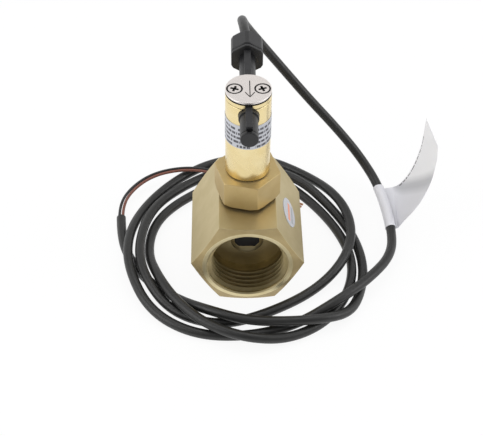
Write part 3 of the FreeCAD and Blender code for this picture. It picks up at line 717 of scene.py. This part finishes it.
def make_flag():
    """The paper strip, built from rows across the cable, each from the leaf's tip to the wrap's end."""
    line = centreline(cable)
    first = nearest(line, cable_points[flag_start])
    last = nearest(line, cable_points[flag_start + 1])
    stations = line[first:last + 1]
    along = stations[-1] - stations[0]
    out = Vector((-along.y, along.x, 0)).normalized()
    up = along.cross(out).normalized()
    leaf_steps = 44
    upper = smooth_line(leaf_upper, leaf_steps)
    lower = smooth_line(leaf_lower, leaf_steps)
    wrap_steps = 30
    wrap_from = math.radians(-41)
    wrap_sweep = math.radians(318)
    rows = []
    for j, centre in enumerate(stations):
        t = j / (len(stations) - 1)
        on_chord = stations[0] + along * t
        row = []
        # Down the leaf from its tip to the crease, then along the neck and round the cable.
        for a, b in zip(reversed(upper), reversed(lower)):
            reach, rise = a[0] * (1 - t) + b[0] * t, a[1] * (1 - t) + b[1] * t
            row.append(on_chord + out * reach * MM + up * rise * MM)
        crease = row[-1]
        touch = centre + out * flag_wrap_radius * 0.75 - up * flag_wrap_radius * 0.66
        for k in (1, 2, 3):
            row.append(crease.lerp(touch, k / 4))
        for k in range(wrap_steps + 1):
            a = wrap_from - wrap_sweep * k / wrap_steps
            row.append(centre + (out * math.cos(a) + up * math.sin(a)) * flag_wrap_radius)
        rows.append(row)
    columns = len(rows[0])
    verts = [p for row in rows for p in row]
    faces = []
    for j in range(len(rows) - 1):
        for i in range(columns - 1):
            a = j * columns + i
            faces.append((a, a + 1, a + columns + 1, a + columns))
    mesh = bpy.data.meshes.new("cable_flag_sheet")
    mesh.from_pydata(verts, [], faces)
    uv = mesh.uv_layers.new(name="sheet")
    for polygon in mesh.polygons:
        for loop in polygon.loop_indices:
            v = mesh.loops[loop].vertex_index
            uv.data[loop].uv = (1 - (v % columns) / (columns - 1), (v // columns) / (len(rows) - 1))
    flag = bpy.data.objects.new("cable_flag_sheet", mesh)
    bpy.context.scene.collection.objects.link(flag)
    thick = flag.modifiers.new("paper", "SOLIDIFY")
    thick.thickness = flag_thickness
    thick.offset = 0
    only(flag)
    bpy.ops.object.modifier_apply(modifier=thick.name)
    return done(flag, coated_paper(), "reed", "cable_flag")


flag = make_flag()
for core, length in zip(cores, (0.102, 0.098)):
    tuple(cable_points[-1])

# ---- the brass tee -----------------------------------------------------------------------------------

tee_centre = (0, 0, port_axis)
tee_brass = machined_brass("dulled_brass", "CABB92", "C4B58B", "Y", tee_centre, 0.46)
# Painted shade: a darker copy of the brass for the walls and threads inside the ports.
bore_brass = machined_brass("bore_shade_brass", "C0AF84", "A9996D", "Y", tee_centre, 0.4)
# Painted shade: a darker copy of the brass for the turned-down corners at the port ends.
shaded_corner_brass = machined_brass("shaded_corner_brass", "BCA97D", "AF9B70", "Y", tee_centre, 0.45, metallic=0.75)
# Painted highlight: a paler copy of the brass for the flat end faces round the ports.
lit_face_brass = machined_brass("lit_face_brass", "E6D9B0", "DACB9F", "Y", tee_centre, 0.38)
adaptor_brass = machined_brass("machined_brass", "CDB784", "C6AE7A", "Z", (0, 0, 0), 0.45,
                               metallic=0.75)


def thread_tap(side):
    """The helical cutter for one port: a male pipe thread, cut off square at both ends."""
    below = 0.3 * MM
    slope = math.tan(math.radians(27.5))
    crest = thread_pitch / 6
    flank = (thread_depth + below) * slope
    root = thread_pitch - crest - 2 * flank
    low, high = thread_minor - below, thread_minor + thread_depth
    turns = math.ceil(thread_length / thread_pitch) + 3
    bpy.ops.object.select_all(action="DESELECT")
    bpy.ops.mesh.primitive_plane_add(size=MM)
    tap = bpy.context.object
    bpy.ops.object.mode_set(mode="EDIT")
    bpy.ops.mesh.select_all(action="SELECT")
    bpy.ops.mesh.merge(type="CENTER")
    bpy.ops.transform.translate(value=(low, 0, 0))
    for _ in range(turns):
        for radial, axial in ((0, root), (high - low, flank), (0, crest), (low - high, flank)):
            bpy.ops.mesh.extrude_vertices_move(TRANSFORM_OT_translate={"value": (radial, 0, axial)})
    bpy.ops.object.mode_set(mode="OBJECT")
    screw = tap.modifiers.new("thread", "SCREW")
    screw.axis = "Z"
    screw.screw_offset = thread_pitch
    screw.steps = 96
    screw.render_steps = 96
    only(tap)
    bpy.ops.object.modifier_apply(modifier=screw.name)
    bpy.ops.object.mode_set(mode="EDIT")
    bpy.ops.mesh.select_all(action="SELECT")
    bpy.ops.mesh.remove_doubles(threshold=0.002 * MM)
    start = 1.5 * thread_pitch
    for height, outer in ((start, False), (start + thread_length + MM, True)):
        bpy.ops.mesh.select_all(action="SELECT")
        bpy.ops.mesh.bisect(plane_co=(0, 0, height), plane_no=(0, 0, 1), clear_inner=not outer,
                            clear_outer=outer)
    bpy.ops.mesh.select_all(action="SELECT")
    bpy.ops.mesh.remove_doubles(threshold=0.002 * MM)
    bpy.ops.mesh.fill_holes(sides=0)
    bpy.ops.mesh.select_all(action="SELECT")
    bpy.ops.mesh.normals_make_consistent(inside=False)
    bpy.ops.object.mode_set(mode="OBJECT")
    tilt = Matrix.Rotation(math.radians(-90 * side), 4, "X")
    base = Vector((0, side * (half_length - thread_length), port_axis))
    return settle(tap, "tap", Matrix.Translation(base) @ tilt @ Matrix.Translation((0, 0, -start)))


def make_tee():
    """A length of hexagon bar with a threaded port at each end, a passage and a socket on top."""
    tee = chamfered_hexagon("tee", across_flats, -half_length, half_length, end_ring, end_setback, "Y",
                            tee_centre)
    ease(tee, 0.18 * MM, angle=17, segments=4)
    web_half = half_length - port_depth
    cutters = [
        turned("passage", [(passage_radius, -web_half - MM), (passage_radius, web_half + MM)], "Y",
               tee_centre),
        turned("head_bore", [(head_bore_radius, port_axis), (head_bore_radius, across_flats + MM)]),
        turned("socket", [(socket_radius, across_flats - socket_depth), (socket_radius, across_flats + MM)]),
    ]
    mouth = thread_minor + mouth_chamfer
    relief = thread_minor + thread_depth + 0.15 * MM
    for side in (-1, 1):
        ends = [(thread_minor, web_half), (thread_minor, half_length - mouth_chamfer),
                (relief, half_length - 0.55 * mouth_chamfer), (relief, half_length - lip - (mouth - relief)),
                (mouth, half_length - lip), (mouth + lip, half_length), (mouth + lip, half_length + MM)]
        cutters.append(turned("port", [(r, side * y) for r, y in ends], "Y", tee_centre))
        cutters.append(thread_tap(side))
    boolean(tee, cutters)
    done(tee, [tee_brass, bore_brass, shaded_corner_brass, lit_face_brass], "housing", "tee_body",
         angle=15)
    bored, on_corner, on_face = 1, 2, 3
    for face in tee.data.polygons:
        from_port = math.hypot(face.center.x, face.center.z - port_axis)
        depth = half_length - abs(face.center.y)
        square_on = abs(face.normal.y)
        # Faces inside a port take the darker copy, as painted shade.
        if from_port < relief + 0.1 * MM and depth > 0.1 * MM:
            face.material_index = bored if square_on < 0.97 and depth < port_depth else 0
        # The corner cones take the darker copy, as painted shade.
        elif depth < end_setback and 0.8 < square_on < 0.99:
            face.material_index = on_corner
        # The end faces take the paler copy, as a painted highlight.
        elif depth < 0.05 * MM:
            face.material_index = on_face


make_tee()


def make_adaptor():
    """The hexagon between tee and tube, with its corners turned down and a shank into the socket."""
    ring = adaptor_across / 2 + 0.5 * MM
    corner = adaptor_across / math.sqrt(3)
    adaptor = chamfered_hexagon("adaptor", adaptor_across, seal_high.z, adaptor_top, ring, adaptor_chamfer,
                                corner=adaptor_turn, far=(corner - 0.5 * MM, 0.5 * MM))
    ease(adaptor, 0.2 * MM, angle=17, segments=4)
    shank = turned("shank", [(socket_radius - 0.05 * MM, adaptor_low.z),
                             (socket_radius - 0.05 * MM, seal_high.z + MM)])
    boolean(adaptor, [shank], "UNION")
    spigot = 8.35 * MM
    boolean(adaptor, [
        turned("bore", [(adaptor_bore, adaptor_low.z - MM), (adaptor_bore, adaptor_top + MM)]),
        turned("counterbore", [(spigot, adaptor_top - 4 * MM), (spigot, adaptor_top + MM)]),
    ])
    return done(adaptor, adaptor_brass, "housing", "hex_adaptor", angle=15)


make_adaptor()

rubber = soft_rubber()
seal_edge = seal_high.x - 0.8 * MM
seal = turned("flat_seal", [(socket_radius + 0.05 * MM, seal_low.z), (seal_edge, seal_low.z),
                            (seal_edge, seal_high.z), (socket_radius + 0.05 * MM, seal_high.z)],
              closed=True)
done(ease(seal, 0.15 * MM), rubber, "housing", "adaptor_seal")

# ---- head tube, saddle and plate ---------------------------------------------------------------------

tube_brass = polished_brass()
nickel = satin_nickel()
# Dark lacquer for the engraving, and painted shade for the gaps and recesses.
lacquer_and_shade = lacquer_and_painted_shade()
arrow_tip = mm(0.5, -5.2, 0) + Vector((0, 0, plate_top))
groove = rod_radius + 0.1 * MM
collar_recess = 4.15 * MM
recess_back = cap_high.y + 0.1 * MM


def rod_channel(low, high):
    """The cutters that let the rod, its rib and its collar through a piece of the head."""
    far = tube_radius + MM
    slot = rib_half + 0.1 * MM
    return [
        turned("groove", [(groove, -far), (groove, far)], "Y", (0, 0, rod_axis)),
        block("slot", (-slot, -far, low), (slot, far, high)),
        turned("recess", [(collar_recess, -far), (collar_recess, recess_back)], "Y", (0, 0, rod_axis)),
    ]


def screw_holes(radius, low):
    """Cutters for the two screws' shafts, from low up."""
    return [turned("hole", [(radius, low), (radius, plate_top + MM)], centre=(x, 0, 0), segments=48)
            for x in (-screw_place, screw_place)]


def countersinks(grow):
    """Cutters for the two screws' heads, larger than the heads by grow."""
    head = screw_radius + grow
    shaft = 1.5 * MM + grow
    top = plate_top + 0.001 * MM
    return [turned("countersink", [(shaft, top - (head - shaft)), (head, top), (head, top + MM)],
                   centre=(x, 0, 0), segments=64) for x in (-screw_place, screw_place)]


def make_tube():
    """The head tube: a spigot at its foot, a bore for the lever and a solid roof."""
    spigot = 8.3 * MM
    spigot_bore = 6.9 * MM
    bore = 7.6 * MM
    roof = 8.5 * MM
    tube = turned("tube", [(spigot, tube_low.z), (spigot, tube_foot), (tube_radius, tube_foot),
                           (tube_radius, tube_top)], segments=128)
    ease(tube, 0.25 * MM, segments=3)
    boolean(tube, [turned("bore", [(spigot_bore, tube_low.z - MM), (spigot_bore, tube_foot + 0.5 * MM),
                                   (bore, tube_foot + MM), (bore, tube_top - roof)])])
    boolean(tube, rod_channel(rod_axis, tube_top + MM))
    boolean(tube, screw_holes(1.5 * MM, plate_top - 8.5 * MM))
    ease(tube, 0.1 * MM, angle=50)
    return done(tube, tube_brass, "housing", "head_tube")


def make_saddle():
    """The band over the rod, with painted shade in the joint gaps above and below it."""
    inner = tube_radius - 0.5 * MM
    gap = 0.35 * MM
    saddle = turned("saddle", [(inner, saddle_low.z), (inner, saddle_low.z + gap),
                               (tube_radius, saddle_low.z + gap), (tube_radius, saddle_high.z - gap),
                               (inner, saddle_high.z - gap), (inner, saddle_high.z)], segments=128)
    boolean(saddle, rod_channel(saddle_low.z - MM, saddle_high.z - 0.4 * MM))
    boolean(saddle, screw_holes(1.55 * MM, saddle_low.z - MM) + countersinks(0.05 * MM))
    saddle = done(saddle, [tube_brass, lacquer_and_shade], "housing", "clamp_saddle")
    # Painted shade: the faces in the joint gaps take the dark material.
    for face in saddle.data.polygons:
        level = abs(face.center.z - (saddle_low.z + saddle_high.z) / 2)
        face.material_index = int(level > (saddle_high.z - saddle_low.z) / 2 - gap - 0.001 * MM
                                  and face.center.xy.length < tube_radius - 0.05 * MM)


def make_plate():
    """The top plate, with its countersinks and the engraved arrow."""
    inner = tube_radius - 0.5 * MM
    gap = plate_low.z + 0.25 * MM
    plate = turned("plate", [(inner, plate_low.z), (inner, gap), (tube_radius, gap),
                             (tube_radius, plate_top)], segments=128)
    ease(plate, 0.25 * MM, segments=4)
    boolean(plate, screw_holes(1.55 * MM, plate_low.z - MM) + countersinks(0.48 * MM))
    depth = 0.15 * MM
    half = 0.2 * MM
    for angle, length in ((0, 10.2 * MM), (-32, 3.6 * MM), (32, 3.6 * MM)):
        place = Matrix.Translation(arrow_tip) @ Matrix.Rotation(math.radians(angle), 4, "Z")
        boolean(plate, [block("stroke", (-half, 0, -depth), (half, length, MM), place)])
    plate = done(plate, [nickel, lacquer_and_shade], "housing", "top_plate")
    # The engraved arrow takes dark lacquer; the countersink walls and the joint gap under the plate take it
    # as painted shade.
    for face in plate.data.polygons:
        sunk = plate_top - face.center.z
        engraved = 0.05 * MM < sunk < 0.2 * MM and abs(face.center.x) < 2.5 * MM
        screw = Vector((math.copysign(screw_place, face.center.x), 0))
        in_hole = (face.center.xy - screw).length < screw_radius + 0.2 * MM and sunk > 0.02 * MM
        in_gap = face.center.z < gap - 0.01 * MM and face.center.xy.length < tube_radius - 0.05 * MM
        face.material_index = int(engraved or in_hole or in_gap)


def make_screws():
    """Two countersunk screws with a cross recess: one is modelled, the other is its turned copy."""
    top = plate_top - 0.03 * MM
    right = turned("screws", [(1.45 * MM, plate_top - 7.5 * MM), (1.45 * MM, top - 1.33 * MM),
                              (screw_radius - 0.02 * MM, top - 0.15 * MM),
                              (screw_radius - 0.24 * MM, top)], segments=64)
    for turn in (20, 110):
        place = Matrix.Translation((0, 0, top)) @ Matrix.Rotation(math.radians(turn), 4, "Z")
        boolean(right, [block("wing", mm(-1.7, -0.5, -1.1), mm(1.7, 0.5, 1), place)])
    left = right.copy()
    left.data = right.data.copy()
    bpy.context.collection.objects.link(left)
    turned_back = Matrix.Rotation(math.radians(-40), 4, "Z")
    left.data.transform(Matrix.Translation((-screw_place, 0, 0)) @ turned_back)
    right.data.transform(Matrix.Translation((screw_place, 0, 0)))
    only(right, left)
    bpy.ops.object.join()
    joined = done(right, [nickel, lacquer_and_shade], "housing", "plate_screws")
    # Painted shade: the faces deep in the cross recess and round the head's rim take the dark material.
    for face in joined.data.polygons:
        centre = Vector((math.copysign(screw_place, face.center.x), 0))
        reach = (face.center.xy - centre).length
        recessed = plate_top - 1.3 * MM < face.center.z < plate_top - 0.05 * MM
        face.material_index = int(recessed and (reach < 1.75 * MM or reach > screw_radius - 0.2 * MM))


make_tube()
make_saddle()
make_plate()
make_screws()

label_radius = label_high.x
label_inner = tube_radius + 0.03 * MM
label = turned("label", [(label_inner, label_low.z), (label_radius, label_low.z),
                         (label_radius, label_high.z), (label_inner, label_high.z)],
               segments=128, closed=True)
seam_half = 0.5 * MM
boolean(label, [block("seam", (-seam_half, 0, label_low.z - MM),
                      (seam_half, tube_radius + MM, label_high.z + MM))])
done(label, printed_foil(label_low.z, label_high.z - label_low.z), "housing", "foil_label")


def make_sticker():
    """An oval of film, slightly domed, on the tee's upper right flat."""
    low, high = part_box("body_sticker")
    lean = math.radians(30)
    slide = 1.5 * MM
    outwards = Vector((math.cos(lean), 0, math.sin(lean)))
    across = Vector((-math.sin(lean), 0, math.cos(lean)))
    middle = Vector((0, (low.y + high.y) / 2 - slide, port_axis)) + outwards * (port_axis + 0.03 * MM)
    thickness = 0.12 * MM
    length, width = high.y - low.y, 10.5 * MM
    sticker = turned("sticker", [(length / 2, 0), (length / 2, 0.6 * thickness),
                                 (length / 2 - 0.15 * MM, thickness)], segments=72)
    axes = Matrix((Vector((0, 1, 0)), across, outwards)).transposed().to_4x4()
    oval = Matrix.Diagonal((1, width / length, 1, 1))
    settle(sticker, "sticker", Matrix.Translation(middle) @ axes @ oval)
    return done(sticker, sticker_film(middle, across), "housing", "body_sticker")


make_sticker()

# ---- reed rod and gland ------------------------------------------------------------------------------

nylon = black_nylon()
collar_radius = (cap_high.x - cap_low.x) / 2
sleeve_radius = plug_high.x
collar_front = -10.5 * MM


def rib(front, back):
    """The guide rib on the rod: a square bar with its top edges eased."""
    return ease(block("rib", (-rib_half, front, rod_axis + rod_radius / 2), (rib_half, back, rib_top)),
                0.15 * MM)


def make_rod():
    """The rod that holds the reed contact: a tube with a guide rib along its top."""
    bore = 2.5 * MM
    rod = turned("rod", [(rod_radius, rod_low.y), (rod_radius, rod_high.y)], "Y", (0, 0, rod_axis))
    boolean(rod, [rib(cap_high.y, gland_low.y)], "UNION")
    boolean(rod, [turned("bore", [(bore, rod_low.y - MM), (bore, rod_high.y + MM)], "Y",
                         (0, 0, rod_axis))])
    return done(rod, nylon, "reed", "reed_rod")


def make_cap():
    """The sleeve on the rod's front end, with a collar that sits in the head's recess."""
    front, back = cap_low.y, cap_high.y
    cap = turned("cap", [(sleeve_radius, front), (sleeve_radius, collar_front), (collar_radius, collar_front),
                         (collar_radius, back)], "Y", (0, 0, rod_axis))
    ease(cap, 0.12 * MM)
    boolean(cap, [rib(front, back)], "UNION")
    bore = rod_radius + 0.05 * MM
    boolean(cap, [turned("bore", [(bore, rod_low.y), (bore, back + MM)], "Y", (0, 0, rod_axis))])
    return done(cap, nylon, "reed", "rod_cap")


def make_plug():
    """The plug that closes the sleeve, with a notch over its rim."""
    front, back = plug_low.y, plug_high.y
    plug = turned("plug", [(sleeve_radius, front), (sleeve_radius, back)], "Y", (0, 0, rod_axis))
    ease(plug, 0.45 * MM, segments=4)
    notch = block("notch", (-0.8 * MM, front + 0.4 * MM, rod_axis + sleeve_radius - 0.7 * MM),
                  (0.8 * MM, back + MM, rod_axis + sleeve_radius + MM))
    boolean(plug, [notch])
    return done(plug, nylon, "reed", "end_plug")


gland_across = gland_high.x - gland_low.x
gland_round = gland_across / math.sqrt(3) - 0.45 * MM


def gland_hexagon(name, front, back, front_ring, back_ring):
    """A moulded hexagon whose corners and ends are rounded off by turning."""
    centre = (0, 0, rod_axis)
    piece = hexagon(name, gland_across, front, back, "Y", centre, corner=90)
    blank = turned("blank", [(front_ring, front - 0.01 * MM), (gland_round, front + 0.8 * MM),
                             (gland_round, back - 0.8 * MM), (back_ring, back + 0.01 * MM)], "Y", centre)
    return ease(boolean(piece, [blank], "INTERSECT"), 0.3 * MM, angle=25, segments=3)


def make_gland():
    """The cable gland: a hexagonal body with a spigot, and its hexagonal nut."""
    centre = (0, 0, rod_axis)
    spigot_radius = 5.0 * MM
    throat = 3.9 * MM
    mouth = 3.6 * MM
    shoulder = gland_low.y + 1.4 * MM
    collar = hexagon("gland_collar", gland_across, gland_low.y, shoulder, "Y", centre, corner=90)
    blank = turned("blank", [(gland_round, gland_low.y - MM), (gland_round, shoulder + MM)], "Y", centre)
    ease(boolean(collar, [blank], "INTERSECT"), 0.3 * MM, angle=25, segments=3)
    spigot = turned("spigot", [(spigot_radius, shoulder - 0.5 * MM), (spigot_radius, gland_high.y)], "Y",
                    centre)
    boolean(collar, [spigot], "UNION")
    seat = rod_radius + 0.05 * MM
    boolean(collar, [turned("seat", [(seat, gland_low.y - MM), (seat, rod_high.y)], "Y", centre),
                     turned("throat", [(throat, rod_high.y - 0.1 * MM), (throat, gland_high.y + MM)],
                            "Y", centre)])
    done(collar, nylon, "reed", "gland_body")
    nut = gland_hexagon("nut", nut_low.y, nut_high.y, gland_round - 1.2 * MM, gland_round - 1.9 * MM)
    bore = spigot_radius + 0.05 * MM
    flare = mouth + 0.7 * MM
    boolean(nut, [turned("thread_bore", [(bore, nut_low.y - MM), (bore, gland_high.y + 0.1 * MM)], "Y",
                         centre),
                  turned("mouth", [(mouth, nut_low.y), (mouth, nut_high.y - 0.8 * MM),
                                   (flare, nut_high.y), (flare, nut_high.y + MM)], "Y", centre)])
    return done(nut, nylon, "reed", "gland_nut")


make_rod()
make_cap()
make_plug()
make_gland()

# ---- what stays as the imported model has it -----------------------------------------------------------


def paddle_polymer():
    """Moulded black polymer with a fine grain, for the paddle; the rivets take it too, as painted shade deep
    in the passage.
    """
    material, tree, shader = surface("paddle_polymer", "1A1A1C", 0.4, IOR=1.5)
    bumped(tree, shader, grain(tree, place_in_object(tree), 0.4 * MM), 0.01 * MM)
    return material


steel = spring_steel()
paddle_black = paddle_polymer()
kept = {
    "tube_o_ring": rubber, "gland_seal": rubber, "pivot_carrier": adaptor_brass, "lever_hub": adaptor_brass,
    "magnet_cup": adaptor_brass, "pivot_pin": steel, "return_spring": steel, "lever_arm": steel,
    # The rivets are painted black as shade, deep inside the tee.
    "magnet_stem": steel, "paddle_rivets": paddle_black, "reed_contacts": steel, "reed_leads": steel,
    "lever_magnet": sintered_ferrite(), "paddle_plate": paddle_black, "reed_capsule": drawn_glass(),
    "potting": cast_resin(), "gland_claw": nylon,
}
for node, material in kept.items():
    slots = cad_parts[node].data.materials
    slots.clear()
    slots.append(material)

# ---- floor, backdrop and light -----------------------------------------------------------------------

floor_size = 6.0
floor_front = 0.3


def rays(tree, *kinds):
    """1 for rays of these kinds, 0 for others, and the light path node."""
    path = add(tree, "ShaderNodeLightPath")
    total = path.outputs[kinds[0]]
    for kind in kinds[1:]:
        total = add(tree, "ShaderNodeMath", {0: total, 1: path.outputs[kind]}, operation="ADD",
                    use_clamp=True).outputs[0]
    return total, path


def make_floor():
    """A plain white sheet that still takes a soft shadow where the camera sees it."""
    bpy.ops.object.select_all(action="DESELECT")
    bpy.ops.mesh.primitive_plane_add(size=floor_size)
    floor = settle(bpy.context.object, "floor", Matrix.Translation((0, floor_size / 2 - floor_front, 0)))
    material, tree, shader = surface("white_card", "F4F4F4", 0.9)
    seen, _ = rays(tree, "Is Camera Ray", "Is Glossy Ray")
    share = add(tree, "ShaderNodeMath", {0: seen, 1: 0.9}, operation="MULTIPLY", use_clamp=True).outputs[0]
    glow = add(tree, "ShaderNodeEmission", {"Color": (1, 1, 1, 1), "Strength": 1.0}).outputs[0]
    mixed = add(tree, "ShaderNodeMixShader", {0: share, 1: shader.outputs[0], 2: glow}).outputs[0]
    tree.links.new(mixed, tree.nodes["Material Output"].inputs["Surface"])
    floor.data.materials.append(material)


def make_world():
    """A white backdrop for the eye and for reflections, and an even soft light from all round."""
    world = bpy.data.worlds.new("studio")
    bpy.context.scene.world = world
    world.use_nodes = True
    tree = world.node_tree
    tree.nodes.clear()
    seen, path = rays(tree, "Is Camera Ray", "Is Glossy Ray", "Is Transmission Ray")
    # Reflections see the white backdrop too, but less of it overhead and on the camera side.
    direction = add(tree, "ShaderNodeTexCoord").outputs["Generated"]
    heading = add(tree, "ShaderNodeSeparateXYZ", {0: direction})
    front = ranged(tree, heading.outputs["Y"], -0.75, 0.0, 0.3, 1.0)
    overhead = ranged(tree, heading.outputs["Z"], 0.3, 0.75, 1.0, 0.5)
    front = add(tree, "ShaderNodeMath", {0: front, 1: overhead}, operation="MULTIPLY").outputs[0]
    shown = add(tree, "ShaderNodeMath", {0: path.outputs["Is Camera Ray"], 1: front}, operation="MAXIMUM")
    lit = add(tree, "ShaderNodeMath", {0: seen, 1: shown.outputs[0]}, operation="MULTIPLY").outputs[0]
    ambient = ranged(tree, seen, 0, 1, 0.8, 0.0)
    level = add(tree, "ShaderNodeMath", {0: lit, 1: ambient}, operation="ADD").outputs[0]
    glow = add(tree, "ShaderNodeBackground", {"Color": (1, 1, 1, 1), "Strength": level}).outputs[0]
    add(tree, "ShaderNodeOutputWorld", {"Surface": glow})


def area_light(name, place, target, size, power):
    """A softbox aimed at the target."""
    data = bpy.data.lights.new(name, "AREA")
    data.shape = "RECTANGLE"
    data.size, data.size_y = size
    data.energy = power
    light = bpy.data.objects.new(name, data)
    bpy.context.scene.collection.objects.link(light)
    aim = Vector(place) - Vector(target)
    light.matrix_world = Matrix.Translation(place) @ aim.to_track_quat("Z", "Y").to_matrix().to_4x4()


make_floor()
make_world()
middle = (0, 0, 0.04)
area_light("softbox_left", (-0.75, -0.25, 0.6), middle, (0.6, 0.8), 2.6)
area_light("softbox_right", (0.8, -0.1, 0.55), middle, (0.5, 0.7), 1.8)
area_light("softbox_above", (0.05, 0.25, 0.95), middle, (0.7, 0.5), 1.6)
